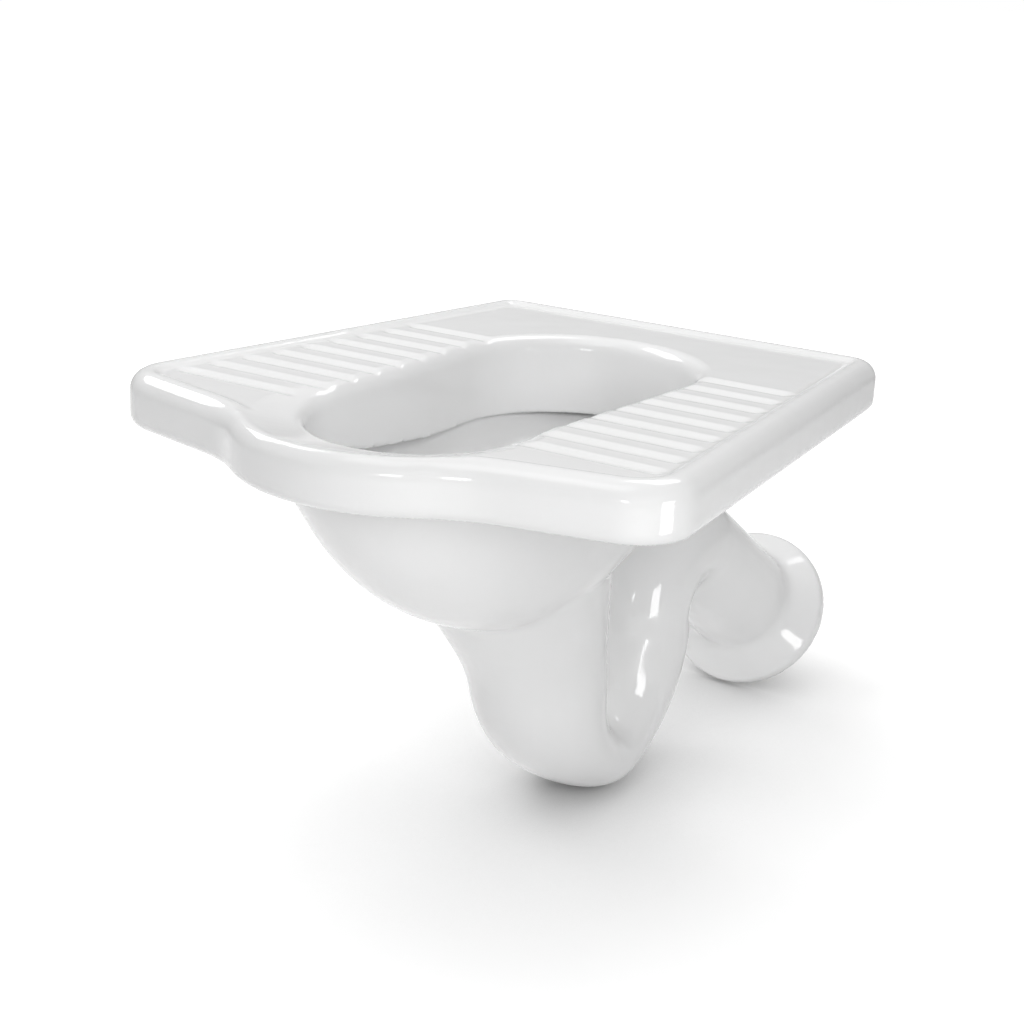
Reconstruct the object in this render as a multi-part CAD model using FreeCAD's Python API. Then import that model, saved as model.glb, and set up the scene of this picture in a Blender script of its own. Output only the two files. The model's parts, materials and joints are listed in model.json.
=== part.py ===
"""Squat toilet pan in glazed vitreous china, with its flush rim, bowl, goose-neck trap and outlet socket.

Millimetres. X runs across the pan, Y from the front lobe to the back, Z up.
The origin is the middle of the pan on the plane its skirt stands on, so everything that hangs
into the floor is below zero.
"""
import math
import os

import FreeCAD
import Part
from FreeCAD import Vector

# Foot platform
deck_length = 495.0
front_width = 438.0
back_width = 343.0
deck_height = 36.0
plate_thickness = 13.0
skirt_thickness = 14.0
front_corner_radius = 42.0
back_corner_radius = 24.0
top_edge_radius = 14.0
foot_edge_radius = 9.5

# Front lobe: how far the straight front runs lie behind the lobe's tip, in the middle and at the corners
lobe_radius = 122.0
lobe_rise = 18.6
corner_setback = 69.0
lobe_blend_radius = 120.0

# Raised border round the standing area
border_rise = 3.0
border_width = 16.0
border_slope = 5.0

# Ribbed treads
tread_count = 9
tread_pitch = 29.4
tread_front = 108.0
tread_margin = 31.0
groove_radius = 13.0
groove_depth = 2.2

# Opening: two circles and the lines that touch both
opening_front_radius = 79.0
opening_back_radius = 89.0
opening_front_margin = 56.0
opening_back_margin = 84.0
opening_edge_radius = 11.0

# Dip of the platform towards the front of the opening: a shallow cone tipped forward
dip_depth = 2.0
dip_slope = 16.0
dip_tilt = 3.8
dip_reach = 60.0

# Flush rim and the channel behind it
rim_thickness = 8.0
rim_depth_front = 27.0
rim_depth_middle = 53.0
rim_depth_back = 61.0
channel_width = 15.0
channel_front_width = 7.0

# Bowl
china_wall = 9.0
bowl_depth = 161.0
bowl_middle_y = -13.0
bowl_middle_shift = 6.0
bowl_sections = 10

# Goose-neck trap: level sections down to the fold line, then a fan of sections round it
pipe_bore = 73.0
funnel_level = 60.0
funnel_front_y = -135.0
funnel_back_y = 58.0
funnel_half_width = 95.0
leg_sections = 5
leg_seam_level = 165.0
fold_y = 121.0
fold_level = 236.0
fold_radius = 18.5
bend_depth = 82.5
bend_half_width = 52.5
bend_sharpness = 1.45
bend_front_draw = 4.0
bend_sections = 8
riser_y = 195.0
crown_level = 197.0
crown_radius = 51.5

# Outlet
outlet_slope = 34.6
outlet_length = 148.0
outlet_end_radius = 48.5
socket_bore = 113.0
socket_wall = 16.5
socket_depth = 20.0
socket_shelf = 16.0
socket_shoulder = 24.0
socket_lip_radius = 4.0

# Flush inlet
inlet_bore = 33.0
inlet_wall = 9.5
inlet_level = 19.0
inlet_reach = 26.0
inlet_hole_margin = 1.5

# Derived sizes
top_level = deck_height + border_rise
plate_underside = deck_height - plate_thickness
half_length = deck_length / 2
front_half = front_width / 2
back_half = back_width / 2
corner_y = corner_setback - half_length
lobe_tip_y = -half_length
opening_front_y = opening_front_margin - half_length + opening_front_radius
opening_back_y = half_length - opening_back_margin - opening_back_radius
rim_outset = rim_thickness + channel_width + china_wall
front_outset = rim_thickness + channel_front_width + china_wall
bowl_half_width = opening_back_radius + rim_outset
bowl_front_reach = bowl_middle_y - (opening_front_y - opening_front_radius) + front_outset
bowl_back_reach = opening_back_y + opening_back_radius - bowl_middle_y + rim_outset
pipe_radius = pipe_bore / 2 + china_wall
socket_radius = socket_bore / 2 + socket_wall
inlet_radius = inlet_bore / 2 + inlet_wall
bend_reach = riser_y + pipe_radius - fold_y
far = 2 * (deck_length + fold_level + bend_depth)

# Largest error when an edge or face is picked out by its place
nearly = 1e-4


def box(x_low, x_high, y_low, y_high, z_low, z_high):
    corner = Vector(x_low, y_low, z_low)
    return Part.makeBox(x_high - x_low, y_high - y_low, z_high - z_low, corner)


def arc(start, middle, end):
    return Part.Arc(start, middle, end).toShape()


def side_half_width(y):
    """Half width of the platform at a given distance along it."""
    along = (y - corner_y) / (half_length - corner_y)
    return front_half + (back_half - front_half) * along


def platform_block():
    """Upright block of the platform's outline, with its corners rounded in plan."""
    run_slope = (corner_setback - lobe_rise) / front_half
    run_start = lobe_tip_y + lobe_rise
    lobe_centre = lobe_tip_y + lobe_radius
    # where the sloping front run meets the lobe's circle
    a = 1 + run_slope ** 2
    b = 2 * run_slope * (run_start - lobe_centre)
    c = (run_start - lobe_centre) ** 2 - lobe_radius ** 2
    meet_x = (math.sqrt(b * b - 4 * a * c) - b) / (2 * a)
    meet_y = run_start + run_slope * meet_x
    lobe = arc(Vector(-meet_x, meet_y), Vector(0, lobe_tip_y), Vector(meet_x, meet_y))
    straight = Part.makePolygon([
        Vector(meet_x, meet_y), Vector(front_half, corner_y), Vector(back_half, half_length),
        Vector(-back_half, half_length), Vector(-front_half, corner_y), Vector(-meet_x, meet_y)])
    outline = [lobe] + straight.Edges
    block = Part.Face(Part.Wire(outline)).extrude(Vector(0, 0, top_level))
    for radius, x, y in ((front_corner_radius, front_half, corner_y),
                         (back_corner_radius, back_half, half_length),
                         (lobe_blend_radius, meet_x, meet_y)):
        upright = [edge for edge in block.Edges
                   if abs(abs(edge.CenterOfMass.x) - x) < nearly
                   and abs(edge.CenterOfMass.y - y) < nearly
                   and abs(edge.CenterOfMass.z - top_level / 2) < nearly]
        block = block.makeFillet(radius, upright)
    return block


def level_wire(block, z):
    """Outer wire of the block's flat face at one level."""
    for face in block.Faces:
        if abs(face.BoundBox.ZMin - z) < nearly and abs(face.BoundBox.ZMax - z) < nearly:
            return face.OuterWire
    raise ValueError("no flat face at that level")


def inset_prism(wire, inset, z_low, z_high):
    """Prism on a platform outline drawn in by some distance."""
    drawn_in = wire.makeOffset2D(-inset)
    drawn_in.translate(Vector(0, 0, z_low - drawn_in.BoundBox.ZMin))
    return Part.Face(drawn_in).extrude(Vector(0, 0, z_high - z_low))


def opening_prism(outset, z_low, z_high):
    """Upright prism of the opening's plan, grown outward by some distance."""
    front_radius = opening_front_radius + outset
    back_radius = opening_back_radius + outset
    spread = opening_back_y - opening_front_y
    lean = math.asin((back_radius - front_radius) / spread)
    across, along = math.cos(lean), math.sin(lean)
    front_touch = Vector(front_radius * across, opening_front_y - front_radius * along, z_low)
    back_touch = Vector(back_radius * across, opening_back_y - back_radius * along, z_low)
    front_left = Vector(-front_touch.x, front_touch.y, z_low)
    back_left = Vector(-back_touch.x, back_touch.y, z_low)
    wire = Part.Wire([
        arc(front_left, Vector(0, opening_front_y - front_radius, z_low), front_touch),
        Part.makeLine(front_touch, back_touch),
        arc(back_touch, Vector(0, opening_back_y + back_radius, z_low), back_left),
        Part.makeLine(back_left, front_left)])
    return Part.Face(wire).extrude(Vector(0, 0, z_high - z_low))


def groove(side, y):
    """One tread groove: a round-ended bar laid across, sunk a little into the standing area."""
    level = deck_height + groove_radius - groove_depth
    outer = side_half_width(y) - tread_margin
    inner = opening_front_radius / 2
    bar = Part.makeCylinder(groove_radius, outer - inner, Vector(side * inner, y, level), Vector(side, 0, 0))
    return bar.fuse(Part.makeSphere(groove_radius, Vector(side * outer, y, level)))


def dip():
    """Cone cut that lowers the lip of the opening towards the front and rounds it over."""
    slope = math.radians(dip_slope)
    wall = opening_front_radius
    lip = Vector(wall + opening_edge_radius * (1 - math.sin(slope)), 0, -dip_depth)
    turn = math.pi / 4 + slope / 2
    arc_centre = lip + Vector(math.sin(slope), 0, -math.cos(slope)) * opening_edge_radius
    arc_middle = arc_centre + Vector(-math.sin(turn), 0, math.cos(turn)) * opening_edge_radius
    foot = Vector(wall, 0, arc_centre.z)
    outer = lip + Vector(dip_reach, 0, dip_reach * math.tan(slope))
    straight = Part.makePolygon([foot, Vector(0, 0, foot.z), Vector(0, 0, outer.z), outer, lip])
    profile = Part.Face(Part.Wire(straight.Edges + [arc(lip, arc_middle, foot)]))
    cone = profile.revolve(Vector(0, 0, 0), Vector(0, 0, 1), 360)
    cone.Placement = FreeCAD.Placement(Vector(0, opening_front_y, deck_height),
                                       FreeCAD.Rotation(Vector(1, 0, 0), dip_tilt))
    return cone


def make_foot_platform():
    block = platform_block()
    outline = level_wire(block, 0)
    rim_edges = [e for e in block.Edges if e.BoundBox.ZMin > top_level - nearly]
    body = block.makeFillet(top_edge_radius, rim_edges)
    foot_edges = [e for e in body.Edges if e.BoundBox.ZMax < nearly]
    body = body.makeFillet(foot_edge_radius, foot_edges)
    # standing area, sunk below the border with a sloping step
    upper = outline.makeOffset2D(-border_width)
    upper.translate(Vector(0, 0, top_level))
    lower = outline.makeOffset2D(-border_width - border_slope)
    lower.translate(Vector(0, 0, deck_height))
    body = body.cut(Part.makeLoft([lower, upper], True, True))
    body = body.cut(inset_prism(outline, skirt_thickness, 0, plate_underside))
    body = body.cut(opening_prism(0, 0, top_level))
    edge = [e for e in body.Edges
            if abs(e.BoundBox.ZMin - deck_height) < nearly and abs(e.BoundBox.ZMax - deck_height) < nearly
            and abs(e.CenterOfMass.x) <= opening_back_radius
            and e.BoundBox.YMin > opening_front_y - opening_front_radius - nearly
            and e.BoundBox.YMax < opening_back_y + opening_back_radius + nearly]
    body = body.makeFillet(opening_edge_radius, edge)
    cuts = [dip()]
    for number in range(tread_count):
        y = tread_front - half_length + number * tread_pitch
        for side in (-1, 1):
            cuts.append(groove(side, y))
    return body.cut(cuts)


def make_flush_rim():
    low = deck_height - rim_depth_back
    ring = opening_prism(rim_thickness, low, plate_underside)
    ring = ring.cut(opening_prism(0, low, plate_underside))
    # the lower edge follows an arc that rises to the front
    front_y = opening_front_y - opening_front_radius - rim_thickness
    back_y = opening_back_y + opening_back_radius + rim_thickness
    start = Vector(0, front_y, deck_height - rim_depth_front)
    middle = Vector(0, (front_y + opening_back_y) / 2, deck_height - rim_depth_middle)
    end = Vector(0, back_y, deck_height - rim_depth_back)
    floor_start = Vector(0, front_y, -far)
    floor_end = Vector(0, back_y, -far)
    under = Part.Face(Part.Wire([
        arc(start, middle, end), Part.makeLine(end, floor_end),
        Part.makeLine(floor_end, floor_start), Part.makeLine(floor_start, start)]))
    under.translate(Vector(-far, 0, 0))
    ring = ring.cut(under.extrude(Vector(2 * far, 0, 0)))
    return ring.cut(dip())


def skin_solid(rings):
    """Solid under one smooth skin through a row of closed rings of points, with flat ends."""
    size = len(rings[0])
    marks = [0.0]
    for before, after in zip(rings, rings[1:]):
        steps = [p.distanceToPoint(q) for p, q in zip(before, after)]
        marks.append(marks[-1] + sum(steps) / size)
    round_curves = []
    for ring in rings:
        curve = Part.BSplineCurve()
        curve.interpolate(ring, PeriodicFlag=True, Parameters=list(range(size + 1)))
        round_curves.append(curve)
    long_curves = []
    for poles in zip(*[curve.getPoles() for curve in round_curves]):
        curve = Part.BSplineCurve()
        curve.interpolate(list(poles), Parameters=marks)
        long_curves.append(curve)
    skin = Part.BSplineSurface()
    skin.buildFromPolesMultsKnots(
        [curve.getPoles() for curve in long_curves],
        round_curves[0].getMultiplicities(), long_curves[0].getMultiplicities(),
        round_curves[0].getKnots(), long_curves[0].getKnots(), True, False, 3, 3)
    side = skin.toShape()
    ends = [Part.Face(Part.Wire([edge])) for edge in side.Edges if edge.isClosed()]
    shell = Part.Shell([side] + ends)
    shell.sewShape()
    return Part.Solid(shell)


def egg_ring(half_width, reaches, fullnesses, middle_y, z):
    """Level egg outline about its widest place, with a reach and a fullness to the front and to the back.

    A fullness of 2 gives half an ellipse, more gives a squarer end.
    """
    points = []
    count = 16
    for step in range(count):
        turn = 2 * math.pi * step / count
        across, along = math.sin(turn), math.cos(turn)
        end = 1 if along > 0 else 0
        x = math.copysign(abs(across) ** (2 / fullnesses[end]), across)
        y = math.copysign(abs(along) ** (2 / fullnesses[end]), along)
        points.append(Vector(half_width * x, middle_y + reaches[end] * y, z))
    return points


def bowl_solid(inset):
    """Solid half-egg under the platform, drawn in by some distance for its inside.

    The back comes in sooner than the front and the sides, as a ramp towards the trap.
    """
    # the walls draw in by (1 - down ** start) ** end: they stand out longer for a high start and a low end
    front_start, front_end = 1.61, 0.57
    side_start, side_end = 1.5, 0.42
    ramp_start, ramp_end = 4, 5.6
    ramp_share = 0.85
    front_squareness, squareness_fade = 0.6, 25
    lowest_turn = 0.47 * math.pi
    depth = bowl_depth - inset
    rings = []
    for number in range(bowl_sections + 1):
        down = math.sin(lowest_turn * number / bowl_sections)
        front = (1 - down ** front_start) ** front_end
        ramp = ramp_share * (1 - down ** ramp_start) ** ramp_end + (1 - ramp_share) * math.sqrt(1 - down ** 2)
        reaches = ((bowl_front_reach - inset) * front, (bowl_back_reach - inset) * ramp)
        front_fullness = 2 + front_squareness * math.exp(-squareness_fade * down ** 2)
        fullnesses = (front_fullness, 2 + (1 - down ** 2) ** 2)
        half_width = (bowl_half_width - inset) * (1 - down ** side_start) ** side_end
        middle_y = bowl_middle_y - bowl_middle_shift * down
        rings.append(egg_ring(half_width, reaches, fullnesses, middle_y, plate_underside - depth * down))
    return skin_solid(rings)


def pipe_ring(middle, outward, half_depth, half_width):
    """Oval pipe section across the plane X = 0."""
    points = []
    count = 12
    for step in range(count):
        turn = 2 * math.pi * step / count
        points.append(middle + outward * (half_depth * math.cos(turn))
                      + Vector(half_width * math.sin(turn), 0, 0))
    return points


def trap_solid(inset):
    """Solid goose neck from inside the bowl to the foot of the crown, drawn in for its inside."""
    # how early the funnel draws in at its front, back and sides
    front_ease, back_ease, side_ease = 1.36, 1.75, 2.08
    rings = []
    for number in range(leg_sections):
        along = number / leg_sections
        front_run = fold_y - bend_reach + bend_front_draw - funnel_front_y
        front_y = funnel_front_y + front_run * (1 - (1 - along) ** front_ease)
        back_y = funnel_back_y + (fold_y - fold_radius - funnel_back_y) * (1 - (1 - along) ** back_ease)
        narrowing = (funnel_half_width - bend_half_width) * (1 - (1 - along) ** side_ease)
        half_width = funnel_half_width - narrowing
        level = funnel_level + (fold_level - funnel_level) * along
        middle = Vector(0, (front_y + back_y) / 2, -level)
        half_depth = (back_y - front_y) / 2
        rings.append(pipe_ring(middle, Vector(0, -1, 0), half_depth - inset, half_width - inset))
    for number in range(bend_sections + 1):
        along = number / bend_sections
        turn = math.pi * along
        outward = Vector(0, -math.cos(turn), -math.sin(turn))
        flat = abs(math.cos(turn) / bend_reach) ** bend_sharpness
        steep = abs(math.sin(turn) / bend_depth) ** bend_sharpness
        reach = (flat + steep) ** (-1 / bend_sharpness) - bend_front_draw * max(0, math.cos(turn)) ** 2
        middle = Vector(0, fold_y, -fold_level) + outward * ((reach + fold_radius) / 2)
        half_width = bend_half_width + (pipe_radius - bend_half_width) * along
        rings.append(pipe_ring(middle, outward, (reach - fold_radius) / 2 - inset, half_width - inset))
    crown_foot = Vector(0, riser_y, -crown_level)
    rings.append(pipe_ring(crown_foot, Vector(0, 1, 0), pipe_radius - inset, pipe_radius - inset))
    return skin_solid(rings)


def outlet_axis():
    """Start of the straight outlet, where the crown ends, and its direction."""
    slope = math.radians(outlet_slope)
    start = Vector(0, riser_y + crown_radius + crown_radius * math.sin(slope),
                   crown_radius * math.cos(slope) - crown_level)
    return start, Vector(0, math.cos(slope), -math.sin(slope))


def make_trap_crown():
    foot = Vector(0, riser_y, -crown_level)
    centre = foot + Vector(0, crown_radius, 0)
    outer = Part.Face(Part.Wire([Part.makeCircle(pipe_radius, foot, Vector(0, 0, 1))]))
    inner = Part.Face(Part.Wire([Part.makeCircle(pipe_bore / 2, foot, Vector(0, 0, 1))]))
    turn = 90 + outlet_slope
    ring = outer.revolve(centre, Vector(-1, 0, 0), turn)
    return ring.cut(inner.revolve(centre, Vector(-1, 0, 0), turn))


def make_outlet_pipe():
    start, direction = outlet_axis()
    pipe = Part.makeCone(pipe_radius, outlet_end_radius, outlet_length, start, direction)
    return pipe.cut(Part.makeCylinder(pipe_bore / 2, outlet_length, start, direction))


def make_outlet_socket():
    """Bell with a sloping shoulder, turned about the outlet's axis."""
    start, direction = outlet_axis()
    length = socket_shelf + socket_depth
    profile = Part.makePolygon([
        Vector(pipe_bore / 2, 0, 0), Vector(outlet_end_radius, 0, 0),
        Vector(socket_radius, 0, socket_shoulder), Vector(socket_radius, 0, length),
        Vector(socket_bore / 2, 0, length), Vector(socket_bore / 2, 0, socket_shelf),
        Vector(pipe_bore / 2, 0, socket_shelf), Vector(pipe_bore / 2, 0, 0)])
    bell = Part.Face(profile).revolve(Vector(0, 0, 0), Vector(0, 0, 1), 360)
    rounded = [e for e in bell.Edges
               if abs(e.BoundBox.XMax - socket_radius) < nearly and e.BoundBox.ZLength < nearly]
    bell = bell.makeFillet(socket_lip_radius, rounded)
    base = start + direction * outlet_length
    bell.Placement = FreeCAD.Placement(base, FreeCAD.Rotation(Vector(0, 0, 1), direction))
    return bell


def build():
    bowl_outer = bowl_solid(0)
    bowl_inner = bowl_solid(china_wall)
    trap_inner = trap_solid(china_wall)
    trap_wall = trap_solid(0).cut(trap_inner)

    # the horn starts well inside the bowl, half-way to its back, and is cut off at the bowl's outside
    inlet_length = bowl_back_reach / 2 + inlet_reach
    inlet_start = Vector(0, bowl_middle_y + bowl_back_reach / 2, -inlet_level)
    horn = Part.makeCylinder(inlet_radius, inlet_length, inlet_start, Vector(0, 1, 0))
    horn_bore = Part.makeCylinder(inlet_bore / 2, inlet_length, inlet_start, Vector(0, 1, 0))
    # the horn is stuck over a hole that was punched a little wider than its bore
    hole_radius = inlet_bore / 2 + inlet_hole_margin
    horn_hole = Part.makeCylinder(hole_radius, inlet_length, inlet_start, Vector(0, 1, 0))

    below_fold = box(-far, far, -far, far, -far, -fold_level)
    below_seam = box(-far, far, -far, far, -far, -leg_seam_level)
    behind_fold = box(-far, far, fold_y, far, -far, far)
    down_pipe = trap_wall.cut([below_fold, behind_fold])

    return {
        "foot_platform": make_foot_platform(),
        "flush_rim": make_flush_rim(),
        "bowl": bowl_outer.cut([bowl_inner, trap_inner, horn_hole]),
        "trap_sump": down_pipe.cut([below_seam, bowl_outer]),
        "trap_leg": down_pipe.common(below_seam),
        "trap_bend": trap_wall.common(below_fold),
        "trap_riser": trap_wall.common(behind_fold).cut(below_fold),
        "trap_crown": make_trap_crown(),
        "outlet_pipe": make_outlet_pipe(),
        "outlet_socket": make_outlet_socket(),
        "flush_inlet": horn.cut([horn_bore, bowl_outer]),
    }


os.makedirs("parts", exist_ok=True)
for name, shape in build().items():
    if len(shape.Solids) != 1 or not shape.isValid():
        raise ValueError(f"{name} is not one sound solid")
    shape.Solids[0].exportStep(f"parts/{name}.step")
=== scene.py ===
"""Squat toilet pan in white glazed china, dressed over its packed castings and set on a pale studio floor."""
import json
import math
from collections import namedtuple

import bmesh
import bpy
import numpy as np
from mathutils import Matrix, Vector
from mathutils.bvhtree import BVHTree


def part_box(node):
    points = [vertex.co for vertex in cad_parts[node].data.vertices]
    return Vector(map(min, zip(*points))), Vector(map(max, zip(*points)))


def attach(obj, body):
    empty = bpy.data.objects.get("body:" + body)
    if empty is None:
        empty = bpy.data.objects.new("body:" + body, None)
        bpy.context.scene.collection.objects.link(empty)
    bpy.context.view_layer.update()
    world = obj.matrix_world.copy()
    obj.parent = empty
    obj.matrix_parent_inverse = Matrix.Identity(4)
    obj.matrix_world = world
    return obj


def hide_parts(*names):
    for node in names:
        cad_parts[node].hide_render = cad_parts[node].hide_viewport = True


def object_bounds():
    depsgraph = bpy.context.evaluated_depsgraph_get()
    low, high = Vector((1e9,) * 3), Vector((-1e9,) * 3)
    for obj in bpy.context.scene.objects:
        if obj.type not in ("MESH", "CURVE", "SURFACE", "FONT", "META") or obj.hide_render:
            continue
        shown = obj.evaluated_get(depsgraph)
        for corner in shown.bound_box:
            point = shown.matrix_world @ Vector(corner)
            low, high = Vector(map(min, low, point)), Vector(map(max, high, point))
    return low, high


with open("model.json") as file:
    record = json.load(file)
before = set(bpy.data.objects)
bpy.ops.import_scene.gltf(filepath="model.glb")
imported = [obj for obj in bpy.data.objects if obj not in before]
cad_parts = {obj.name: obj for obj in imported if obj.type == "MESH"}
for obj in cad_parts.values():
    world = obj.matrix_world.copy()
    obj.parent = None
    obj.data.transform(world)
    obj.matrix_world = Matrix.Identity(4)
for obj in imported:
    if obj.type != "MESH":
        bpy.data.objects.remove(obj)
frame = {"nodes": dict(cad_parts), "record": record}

bl_info = {
    "name": "Glazed squat pan",
    "version": (1, 0, 0),
    "blender": (4, 5, 0),
    "location": "3D View > Sidebar > Squat Pan",
    "description": "Dresses the castings of a squat toilet pan in white glaze and lights it on a pale floor",
    "category": "Object",
}

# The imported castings, and the box round them
CAD_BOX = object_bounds()
DECK_CASTINGS = ("foot_platform", "flush_rim")
UNDER_CASTINGS = ("bowl", "flush_inlet", "trap_sump", "trap_leg", "trap_bend", "trap_riser", "trap_crown",
                  "outlet_pipe", "outlet_socket")

# Skins, in metres: points this close are one, and a face may belong to a casting whose box is this near
WELD_DISTANCE = 1e-6
NEAR_CASTING = 0.01

# Share of the way to the mean of its neighbours that a point moves: in and back out to round, in to fill
ROUNDING_SHARES = (0.5, -0.53)
FILLING_SHARE = 0.5

# Bare china: least cosine between a face's normal and the way the bare china looks, and how far behind
# the foot or the mouth such a face may lie, in metres
BARE_FACING = 0.9
FOOT_DEPTH = 0.001
MOUTH_DEPTH = 0.0015
MILLIMETRE = 0.001

# Noise of each effect on a fired surface: waves in a metre, and levels of detail
BLOTCH_NOISE = (11.0, 3.0)
HAZE_NOISE = (34.0, 4.0)
FLOW_NOISE = (26.0, 1.0)
PEEL_NOISE = (420.0, 2.0)

# Range of the haze that the roughness is spread over, and strength of all ripples
HAZE_RANGE = (0.3, 0.7)
RIPPLE_STRENGTH = 0.3

# Stage, in metres: the floor's glow changes between two distances from the middle
FLOOR_LEVEL = CAD_BOX[0][2]
FLOOR_HALF = 30
GLOW_NEAR = 0.35
GLOW_FAR = 1.6

# Each lamp looks at the target from a bearing from +X and a rise, in degrees. Some lamps do without
# highlights in the gloss, and some draw only those.
LAMP_TARGET = Vector((0, 0.05, -0.08))
Lamp = namedtuple("Lamp", "bearing rise size distance without")
LAMPS = {
    "key": Lamp(-45, 24, (1.0, 1.0), 2.0, "visible_glossy"),
    "left": Lamp(180, 45, (1.0, 1.0), 2.0, None),
    "back": Lamp(90, 60, (1.0, 1.0), 2.0, None),
    "top": Lamp(-90, 65, (1.0, 1.0), 2.0, None),
    "streak": Lamp(-14, -1.5, (0.28, 0.42), 0.9, "visible_diffuse"),
    "glint": Lamp(-70, 12, (0.4, 0.3), 2.0, "visible_diffuse"),
    "ridge": Lamp(90, 60, (1.0, 1.0), 2.0, "visible_diffuse"),
}

# Camera: directions of the picture's right and down, fitted to the photograph
PICTURE_RIGHT = Vector((0.83809, 0.54337, 0.04846))
PICTURE_DOWN = Vector((0.20182, -0.22628, -0.95293))
SENSOR_WIDTH = 36
CLIP_END = 50


class PanChinaSettings(bpy.types.PropertyGroup):
    """Glaze and softness of the china."""

    glaze_colour: bpy.props.FloatVectorProperty(
        name="Glaze colour", description="Colour of the white glaze where it lies thin",
        subtype="COLOR", size=3, min=0, max=1, default=(0.80, 0.80, 0.805))
    pooled_colour: bpy.props.FloatVectorProperty(
        name="Pooled colour", description="Colour of the glaze where it lies thick",
        subtype="COLOR", size=3, min=0, max=1, default=(0.77, 0.772, 0.768))
    glaze_roughness: bpy.props.FloatVectorProperty(
        name="Glaze roughness", description="Least and most roughness of the glaze",
        size=2, min=0, max=1, default=(0.05, 0.1))
    glaze_peel: bpy.props.FloatProperty(
        name="Glaze peel", description="Share of fine ripple in the glaze's flow", min=0, max=2, default=0.06)
    glaze_ripple: bpy.props.FloatProperty(
        name="Glaze ripple", description="Height of the ripples in the glaze", unit="LENGTH",
        min=0, max=0.01, precision=4, default=0.0012)
    bare_colour: bpy.props.FloatVectorProperty(
        name="Bare colour", description="Colour of the unglazed china that the pan was fired on",
        subtype="COLOR", size=3, min=0, max=1, default=(0.74, 0.72, 0.68))
    bare_shade: bpy.props.FloatProperty(
        name="Bare shade", description="Share of the bare colour that its darker blotches keep",
        min=0, max=1, default=0.96)
    bare_roughness: bpy.props.FloatVectorProperty(
        name="Bare roughness", description="Least and most roughness of the bare china",
        size=2, min=0, max=1, default=(0.6, 0.8))
    bare_peel: bpy.props.FloatProperty(
        name="Bare peel", description="Share of fine grit in the bare china's surface",
        min=0, max=2, default=0.6)
    bare_ripple: bpy.props.FloatProperty(
        name="Bare ripple", description="Height of the grit on the bare china", unit="LENGTH",
        min=0, max=0.01, precision=4, default=0.0006)
    deck_grain: bpy.props.FloatProperty(
        name="Deck grain", description="Size of the faces of the deck's mesh", unit="LENGTH",
        min=0.001, max=0.01, default=0.002)
    under_grain: bpy.props.FloatProperty(
        name="Underbody grain", description="Size of the faces of the bowl's and trap's mesh", unit="LENGTH",
        min=0.001, max=0.01, default=0.0025)
    deck_rounding: bpy.props.IntProperty(
        name="Deck rounding", description="Passes that round the edges of the ribs and of the border",
        min=0, max=100, default=16)
    under_rounding: bpy.props.IntProperty(
        name="Underbody rounding", description="Passes that round the edges of the bowl, trap and outlet",
        min=0, max=100, default=8)
    seam_filling: bpy.props.IntProperty(
        name="Seam filling", description="Passes that fill the creases where the castings are stuck together",
        min=0, max=100, default=24)


class PanStageSettings(bpy.types.PropertyGroup):
    """Floor, lamps and camera."""

    floor_colour: bpy.props.FloatVectorProperty(
        name="Floor colour", description="Colour of the pale studio floor",
        subtype="COLOR", size=3, min=0, max=1, default=(0.93, 0.93, 0.93))
    shadow_share: bpy.props.FloatProperty(
        name="Shadow share", description="Share of the floor's shading that the camera sees",
        min=0, max=1, default=0.35)
    # Painted shadow: reach of the ambient occlusion that darkens the floor's glow near the pan
    shade_reach: bpy.props.FloatProperty(
        name="Shade reach", description="Distance within which the pan shades the floor's glow",
        unit="LENGTH", min=0, max=2, default=0.26)
    floor_glow: bpy.props.FloatProperty(
        name="Floor glow", description="Light added to the floor beside the pan, as the camera sees it",
        min=0, max=1, default=0.8)
    far_glow: bpy.props.FloatProperty(
        name="Far glow", description="Light added to the floor far from the pan, as the camera sees it",
        min=0, max=1, default=0.95)
    mirrored_share: bpy.props.FloatProperty(
        name="Mirrored share", description="Share of the floor's glow that reflections in the glaze show",
        min=0, max=1, default=0.12)
    mirrored_backdrop: bpy.props.FloatProperty(
        name="Mirrored backdrop",
        description="Share of the white backdrop that reflections in the glaze show",
        min=0, max=1, default=0.2)
    ambient: bpy.props.FloatProperty(
        name="Ambient", description="Strength of the even light from all round", min=0, max=2, default=0.23)
    key_power: bpy.props.FloatProperty(
        name="Key power", description="Power of the lamp beside the camera", unit="POWER",
        min=0, max=500, default=21)
    left_power: bpy.props.FloatProperty(
        name="Left power", description="Power of the high lamp on the pan's left", unit="POWER",
        min=0, max=500, default=22)
    back_power: bpy.props.FloatProperty(
        name="Back power", description="Power of the high lamp behind the pan", unit="POWER",
        min=0, max=500, default=12)
    top_power: bpy.props.FloatProperty(
        name="Top power", description="Power of the lamp above the pan's front", unit="POWER",
        min=0, max=500, default=5)
    streak_power: bpy.props.FloatProperty(
        name="Streak power", description="Power of the upright lamp that draws streaks on the trap",
        unit="POWER", min=0, max=500, default=3)
    glint_power: bpy.props.FloatProperty(
        name="Glint power", description="Power of the small lamp that draws glints on the deck's front edge",
        unit="POWER", min=0, max=500, default=3)
    ridge_power: bpy.props.FloatProperty(
        name="Ridge power", description="Power of the lamp that draws highlights on the ribs of the treads",
        unit="POWER", min=0, max=500, default=12)
    camera_place: bpy.props.FloatVectorProperty(
        name="Camera place", description="Where the camera stands", subtype="XYZ", unit="LENGTH", size=3,
        default=(0.6535, -1.0441, 0.3248))
    camera_lens: bpy.props.FloatProperty(
        name="Camera lens", description="Focal length of the camera", unit="CAMERA", min=10, max=200,
        default=63.28)


def link(obj):
    """Puts a new object into the scene."""
    bpy.context.scene.collection.objects.link(obj)
    return obj


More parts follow.
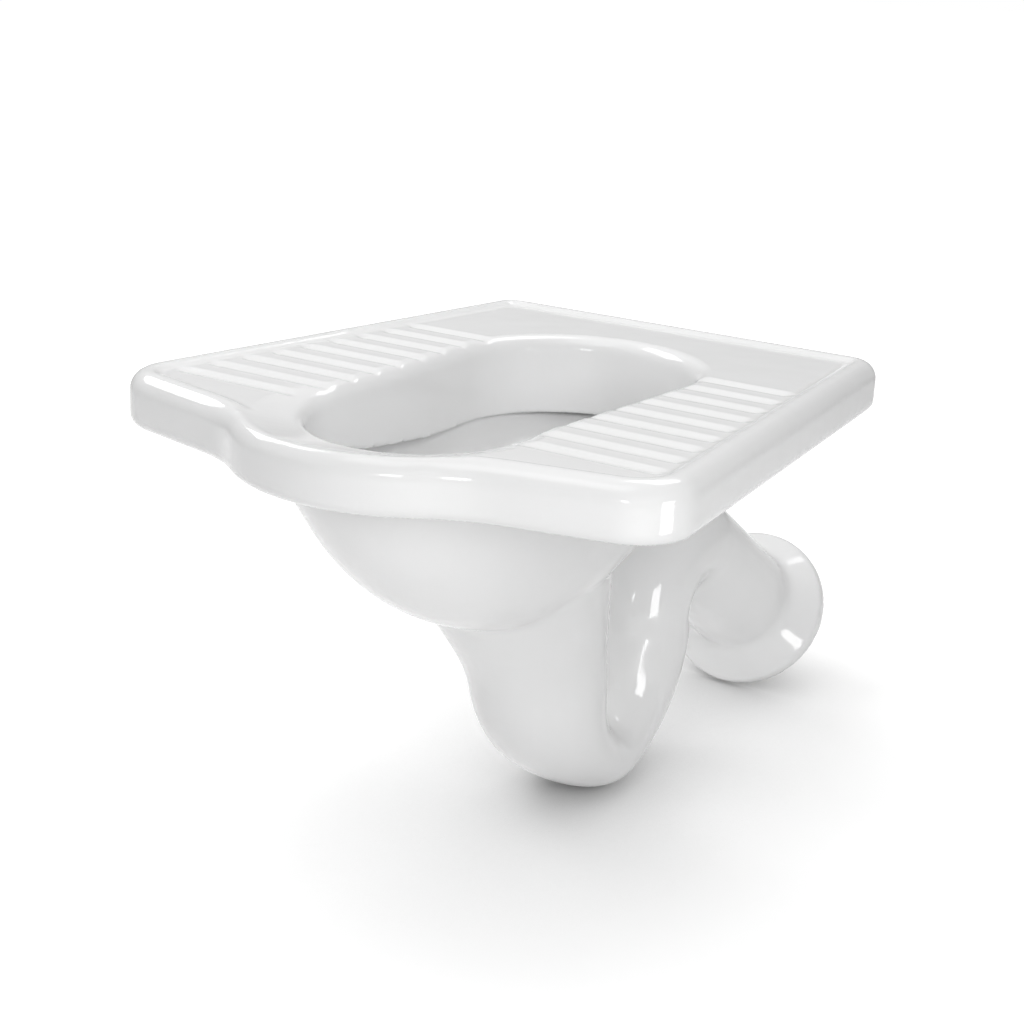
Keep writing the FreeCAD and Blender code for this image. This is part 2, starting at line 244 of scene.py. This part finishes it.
def joined_castings(names):
    """One mesh with the surfaces of several castings."""
    joined = bmesh.new()
    for name in names:
        joined.from_mesh(frame["nodes"][name].data)
    bmesh.ops.remove_doubles(joined, verts=joined.verts, dist=WELD_DISTANCE)
    mesh = bpy.data.meshes.new("joined")
    joined.to_mesh(mesh)
    joined.free()
    return mesh


def points_of(mesh):
    """Places of a mesh's vertices as an array."""
    flat = np.empty(3 * len(mesh.vertices))
    mesh.vertices.foreach_get("co", flat)
    return flat.reshape(-1, 3)


def normals_of(mesh):
    """Smooth normals of a mesh's vertices as an array."""
    flat = np.empty(3 * len(mesh.vertices))
    mesh.vertex_normals.foreach_get("vector", flat)
    return flat.reshape(-1, 3)


def set_points(mesh, points):
    """Moves a mesh's vertices and brings its normals up to date."""
    mesh.vertices.foreach_set("co", points.ravel())
    mesh.update()


def neighbour_means(points, here, there):
    """Mean place of the points that share an edge with each point."""
    count = np.bincount(here, minlength=len(points))
    sums = [np.bincount(here, weights=points[there, axis], minlength=len(points)) for axis in range(3)]
    return np.stack(sums, axis=1) / count[:, None]


def soften(mesh, rounding, filling):
    """Rounds the edges of a skin without drawing it in, then fills its creases as joining slip does."""
    edges = np.empty(2 * len(mesh.edges), dtype=np.int32)
    mesh.edges.foreach_get("vertices", edges)
    first, second = edges.reshape(-1, 2).T
    here, there = np.concatenate([first, second]), np.concatenate([second, first])
    points = points_of(mesh)
    for _ in range(rounding):
        for share in ROUNDING_SHARES:
            points += share * (neighbour_means(points, here, there) - points)
    set_points(mesh, points)
    for _ in range(filling):
        step = neighbour_means(points, here, there) - points
        hollow = np.einsum("ij,ij->i", step, normals_of(mesh)) > 0
        points[hollow] += FILLING_SHARE * step[hollow]
        set_points(mesh, points)


def joined_skin(castings, grain, rounding, filling):
    """One closed skin over castings that are stuck together, with soft edges and filled seams."""
    rough = link(bpy.data.objects.new("rough", joined_castings(castings)))
    remesh = rough.modifiers.new("skin", "REMESH")
    remesh.mode = "VOXEL"
    remesh.voxel_size = grain
    skin = bpy.data.meshes.new_from_object(rough.evaluated_get(bpy.context.evaluated_depsgraph_get()))
    old = rough.data
    bpy.data.objects.remove(rough)
    bpy.data.meshes.remove(old)
    if not skin.polygons:
        raise RuntimeError("the joined skin came out empty")
    soften(skin, rounding, filling)
    return skin


def is_near(place, box):
    """Whether a place lies in a casting's box or close to it."""
    low, high = box
    return all(low[axis] - NEAR_CASTING < place[axis] < high[axis] + NEAR_CASTING for axis in range(3))


def casting_of_faces(skin, castings):
    """Number of the casting that lies nearest to each face of a joined skin."""
    trees = []
    for name in castings:
        mesh = frame["nodes"][name].data
        faces = [tuple(face.vertices) for face in mesh.polygons]
        trees.append(BVHTree.FromPolygons([vertex.co for vertex in mesh.vertices], faces))
    boxes = [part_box(name) for name in castings]
    owners = []
    for face in skin.polygons:
        place = face.center
        near = [number for number, box in enumerate(boxes) if is_near(place, box)]
        owners.append(min(near, key=lambda number: trees[number].find_nearest(place)[3]))
    return owners


def glazed_piece(name, places, normals, faces):
    """Piece over one casting, from its faces of a joined skin and with that skin's smooth normals."""
    if not faces:
        raise RuntimeError(f"no part of the skin lies on {name}")
    used = sorted({corner for face in faces for corner in face})
    order = {corner: number for number, corner in enumerate(used)}
    mesh = bpy.data.meshes.new("glazed_" + name)
    mesh.from_pydata(places[used].tolist(), [], [[order[corner] for corner in face] for face in faces])
    mesh.shade_smooth()
    mesh.normals_split_custom_set_from_vertices(normals[used].tolist())
    piece = link(bpy.data.objects.new("glazed_" + name, mesh))
    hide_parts(name)
    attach(piece, "root")
    return piece


def glazed_pieces(castings, grain, rounding, filling):
    """One glazed piece for each casting, cut from a joined skin so that no seam shows between them."""
    skin = joined_skin(castings, grain, rounding, filling)
    places, normals = points_of(skin), normals_of(skin)
    faces_by_casting = [[] for _ in castings]
    for face, owner in zip(skin.polygons, casting_of_faces(skin, castings)):
        faces_by_casting[owner].append(tuple(face.vertices))
    bpy.data.meshes.remove(skin)
    return {name: glazed_piece(name, places, normals, faces)
            for name, faces in zip(castings, faces_by_casting)}


def add_sockets(group, way, kinds):
    """Adds named inputs or outputs to a node group."""
    for name, kind in kinds.items():
        group.interface.new_socket(name=name, in_out=way, socket_type="NodeSocket" + kind)


def math_node(tree, operation, *values):
    """Result of a sum on numbers and on other nodes' outputs."""
    node = tree.nodes.new("ShaderNodeMath")
    node.operation = operation
    for socket, value in zip(node.inputs, values):
        if isinstance(value, bpy.types.NodeSocket):
            tree.links.new(value, socket)
        else:
            socket.default_value = value
    return node.outputs["Value"]


def noise_node(tree, place, effect):
    """Noise of one effect in the object's own metres."""
    noise = tree.nodes.new("ShaderNodeTexNoise")
    noise.inputs["Scale"].default_value, noise.inputs["Detail"].default_value = effect
    tree.links.new(place, noise.inputs["Vector"])
    return noise.outputs["Fac"]


def fired_surface_group():
    """Node group for the uneven tone, gloss and flow of a fired surface."""
    group = bpy.data.node_groups.new("fired_surface", "ShaderNodeTree")
    add_sockets(group, "INPUT", {"Thin Colour": "Color", "Thick Colour": "Color", "Least Roughness": "Float",
                                 "Most Roughness": "Float", "Peel": "Float"})
    add_sockets(group, "OUTPUT", {"Colour": "Color", "Roughness": "Float", "Height": "Float"})
    nodes, links = group.nodes, group.links
    into = nodes.new("NodeGroupInput").outputs
    out = nodes.new("NodeGroupOutput").inputs
    place = nodes.new("ShaderNodeTexCoord").outputs["Object"]

    tone = nodes.new("ShaderNodeMix")
    tone.data_type = "RGBA"
    links.new(noise_node(group, place, BLOTCH_NOISE), tone.inputs["Factor"])
    links.new(into["Thin Colour"], tone.inputs["A"])
    links.new(into["Thick Colour"], tone.inputs["B"])
    links.new(tone.outputs["Result"], out["Colour"])

    gloss = nodes.new("ShaderNodeMapRange")
    gloss.inputs["From Min"].default_value, gloss.inputs["From Max"].default_value = HAZE_RANGE
    links.new(noise_node(group, place, HAZE_NOISE), gloss.inputs["Value"])
    links.new(into["Least Roughness"], gloss.inputs["To Min"])
    links.new(into["Most Roughness"], gloss.inputs["To Max"])
    links.new(gloss.outputs["Result"], out["Roughness"])

    flow = noise_node(group, place, FLOW_NOISE)
    peel = noise_node(group, place, PEEL_NOISE)
    links.new(math_node(group, "MULTIPLY_ADD", peel, into["Peel"], flow), out["Height"])
    return group


def fired_material(name, group, colours, roughness, peel, ripple):
    """Material of one fired surface, made from the shared group."""
    material = bpy.data.materials.new(name)
    material.use_nodes = True
    nodes, links = material.node_tree.nodes, material.node_tree.links
    shader = nodes["Principled BSDF"]
    surface = nodes.new("ShaderNodeGroup")
    surface.node_tree = group
    thin, thick = colours
    surface.inputs["Thin Colour"].default_value = (*thin, 1)
    surface.inputs["Thick Colour"].default_value = (*thick, 1)
    surface.inputs["Least Roughness"].default_value = roughness[0]
    surface.inputs["Most Roughness"].default_value = roughness[1]
    surface.inputs["Peel"].default_value = peel
    bump = nodes.new("ShaderNodeBump")
    bump.inputs["Strength"].default_value = RIPPLE_STRENGTH
    bump.inputs["Distance"].default_value = ripple
    links.new(surface.outputs["Colour"], shader.inputs["Base Color"])
    links.new(surface.outputs["Roughness"], shader.inputs["Roughness"])
    links.new(surface.outputs["Height"], bump.inputs["Height"])
    links.new(bump.outputs["Normal"], shader.inputs["Normal"])
    return material


def china_materials():
    """Glazed and bare china, made once and shared by the pieces."""
    glaze = bpy.data.materials.get("white_glaze")
    bare = bpy.data.materials.get("bare_china")
    if glaze and bare:
        return glaze, bare
    settings = bpy.context.scene.pan_china
    group = fired_surface_group()
    glaze = fired_material("white_glaze", group, (settings.glaze_colour, settings.pooled_colour),
                           settings.glaze_roughness, settings.glaze_peel, settings.glaze_ripple)
    darker = [settings.bare_shade * level for level in settings.bare_colour]
    bare = fired_material("bare_china", group, (settings.bare_colour, darker),
                          settings.bare_roughness, settings.bare_peel, settings.bare_ripple)
    return glaze, bare


def paint(piece, is_bare=None):
    """Glazes a piece, and leaves bare the faces that a test picks out."""
    glaze, bare = china_materials()
    piece.data.materials.append(glaze)
    if is_bare:
        piece.data.materials.append(bare)
        for face in piece.data.polygons:
            face.material_index = int(is_bare(face.center, face.normal))


class PAN_OT_deck(bpy.types.Operator):
    """Make the glazed deck: the foot platform with its treads and opening, and the flush rim"""

    bl_idname = "pan.deck"
    bl_label = "Glazed deck"

    def execute(self, context):
        settings = context.scene.pan_china
        pieces = glazed_pieces(DECK_CASTINGS, settings.deck_grain, settings.deck_rounding, 0)
        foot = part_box("foot_platform")[0].z

        def stands_on_foot(place, normal):
            return normal.z < -BARE_FACING and place.z < foot + FOOT_DEPTH

        paint(pieces["foot_platform"], stands_on_foot)
        paint(pieces["flush_rim"])
        return {"FINISHED"}


class PAN_OT_underbody(bpy.types.Operator):
    """Make the glazed bowl, goose-neck trap, outlet and flush inlet"""

    bl_idname = "pan.underbody"
    bl_label = "Glazed bowl and trap"

    def execute(self, context):
        settings = context.scene.pan_china
        pieces = glazed_pieces(UNDER_CASTINGS, settings.under_grain, settings.under_rounding,
                               settings.seam_filling)
        mounts = {mount["name"]: mount for mount in frame["record"]["mounts"]}
        bore = mounts["outlet_socket_bore"]
        way = Vector(bore["axis"])
        depth = bore["dims"]["length_mm"] * MILLIMETRE
        mouth = Vector(bore["pos_m"]) + way * (depth / 2)

        def lies_at_mouth(place, normal):
            return normal.dot(way) > BARE_FACING and (place - mouth).dot(way) > -MOUTH_DEPTH

        for name, piece in pieces.items():
            paint(piece, lies_at_mouth if name == "outlet_socket" else None)
        return {"FINISHED"}


def seen_share(tree, mirrored_share):
    """1 for what the camera sees, a share of that for what the glaze mirrors, and 0 for other light."""
    rays = tree.nodes.new("ShaderNodeLightPath").outputs
    mirrored = math_node(tree, "MULTIPLY", rays["Is Glossy Ray"], mirrored_share)
    return math_node(tree, "MAXIMUM", rays["Is Camera Ray"], mirrored)


def floor_material(settings):
    """Matt pale floor that keeps shadows, darkened near the pan by painted shadow, and that the camera sees
    as white.
    """
    material = bpy.data.materials.new("studio_floor")
    material.use_nodes = True
    tree = material.node_tree
    nodes, links = tree.nodes, tree.links
    shader = nodes["Principled BSDF"]
    shader.inputs["Roughness"].default_value = 1
    shader.inputs["Specular IOR Level"].default_value = 0
    shader.inputs["Emission Color"].default_value = (1, 1, 1, 1)

    away = nodes.new("ShaderNodeVectorMath")
    away.operation = "LENGTH"
    links.new(nodes.new("ShaderNodeTexCoord").outputs["Object"], away.inputs[0])
    glow = nodes.new("ShaderNodeMapRange")
    glow.interpolation_type = "SMOOTHSTEP"
    glow.inputs["From Min"].default_value = GLOW_NEAR
    glow.inputs["From Max"].default_value = GLOW_FAR
    glow.inputs["To Min"].default_value = settings.floor_glow
    glow.inputs["To Max"].default_value = settings.far_glow
    links.new(away.outputs["Value"], glow.inputs["Value"])
    # Painted shadow: ambient occlusion darkens the floor's glow where the pan comes near, as the camera and
    # the glaze's reflections see it
    shade = nodes.new("ShaderNodeAmbientOcclusion")
    shade.inputs["Distance"].default_value = settings.shade_reach
    shaded = math_node(tree, "MULTIPLY", glow.outputs["Result"], shade.outputs["AO"])
    lift = math_node(tree, "MULTIPLY", shaded, seen_share(tree, settings.mirrored_share))
    links.new(lift, shader.inputs["Emission Strength"])

    tint = nodes.new("ShaderNodeMix")
    tint.data_type = "RGBA"
    tint.inputs["A"].default_value = (*settings.floor_colour, 1)
    tint.inputs["B"].default_value = (*[settings.shadow_share * level for level in settings.floor_colour], 1)
    links.new(nodes.new("ShaderNodeLightPath").outputs["Is Camera Ray"], tint.inputs["Factor"])
    links.new(tint.outputs["Result"], shader.inputs["Base Color"])
    return material


def studio_floor(settings):
    """Large level floor under the lowest point of the pan."""
    mesh = bpy.data.meshes.new("floor")
    corners = [(-1, -1), (1, -1), (1, 1), (-1, 1)]
    mesh.from_pydata([(FLOOR_HALF * x, FLOOR_HALF * y, FLOOR_LEVEL) for x, y in corners], [], [(0, 1, 2, 3)])
    mesh.materials.append(floor_material(settings))
    link(bpy.data.objects.new("floor", mesh))


def studio_world(settings):
    """Even grey light all round, seen as white by the camera and in part by the glaze."""
    world = bpy.data.worlds.new("studio")
    world.use_nodes = True
    tree = world.node_tree
    background = tree.nodes["Background"]
    background.inputs["Color"].default_value = (1, 1, 1, 1)
    level = tree.nodes.new("ShaderNodeMapRange")
    level.inputs["To Min"].default_value = settings.ambient
    level.inputs["To Max"].default_value = 1
    tree.links.new(seen_share(tree, settings.mirrored_backdrop), level.inputs["Value"])
    tree.links.new(level.outputs["Result"], background.inputs["Strength"])
    bpy.context.scene.world = world


def soft_lamp(name, power):
    """Area lamp that looks at the pan."""
    place = LAMPS[name]
    lamp = bpy.data.lights.new(name, "AREA")
    lamp.shape = "RECTANGLE"
    lamp.size, lamp.size_y = place.size
    lamp.energy = power
    turn, lift = math.radians(place.bearing), math.radians(place.rise)
    away = Vector((math.cos(lift) * math.cos(turn), math.cos(lift) * math.sin(turn), math.sin(lift)))
    obj = link(bpy.data.objects.new(name, lamp))
    obj.location = LAMP_TARGET + away * place.distance
    obj.rotation_euler = (-away).to_track_quat("-Z", "Y").to_euler()
    if place.without:
        setattr(obj, place.without, False)


def studio_camera(settings):
    """Camera where the photograph was taken from."""
    back = -PICTURE_RIGHT.cross(PICTURE_DOWN)
    turn = Matrix((PICTURE_RIGHT, -PICTURE_DOWN, back)).transposed()
    camera = bpy.data.cameras.new("camera")
    camera.sensor_width = SENSOR_WIDTH
    camera.lens = settings.camera_lens
    camera.clip_end = CLIP_END
    obj = link(bpy.data.objects.new("camera", camera))
    obj.matrix_world = Matrix.Translation(settings.camera_place) @ turn.to_4x4()
    bpy.context.scene.camera = obj


class PAN_OT_stage(bpy.types.Operator):
    """Set the floor, the lamps and the camera"""

    bl_idname = "pan.stage"
    bl_label = "Studio stage"

    def execute(self, context):
        settings = context.scene.pan_stage
        studio_floor(settings)
        studio_world(settings)
        for name in LAMPS:
            soft_lamp(name, getattr(settings, name + "_power"))
        studio_camera(settings)
        context.scene.view_settings.view_transform = "Standard"
        return {"FINISHED"}


class PAN_PT_sidebar(bpy.types.Panel):
    """Sizes, colours and steps of the squat pan"""

    bl_idname = "PAN_PT_sidebar"
    bl_label = "Squat Pan"
    bl_space_type = "VIEW_3D"
    bl_region_type = "UI"
    bl_category = "Squat Pan"

    def draw(self, context):
        for settings in (context.scene.pan_china, context.scene.pan_stage):
            box = self.layout.box()
            for name in settings.bl_rna.properties.keys():
                if name not in {"rna_type", "name"}:
                    box.prop(settings, name)
        for operator in OPERATORS:
            self.layout.operator(operator.bl_idname)


OPERATORS = (PAN_OT_deck, PAN_OT_underbody, PAN_OT_stage)
CLASSES = (PanChinaSettings, PanStageSettings) + OPERATORS + (PAN_PT_sidebar,)


def register():
    for cls in CLASSES:
        bpy.utils.register_class(cls)
    bpy.types.Scene.pan_china = bpy.props.PointerProperty(type=PanChinaSettings)
    bpy.types.Scene.pan_stage = bpy.props.PointerProperty(type=PanStageSettings)


def unregister():
    del bpy.types.Scene.pan_stage
    del bpy.types.Scene.pan_china
    for cls in reversed(CLASSES):
        bpy.utils.unregister_class(cls)


def main():
    register()
    bpy.ops.pan.deck()
    bpy.ops.pan.underbody()
    bpy.ops.pan.stage()


if __name__ == "__main__":
    main()
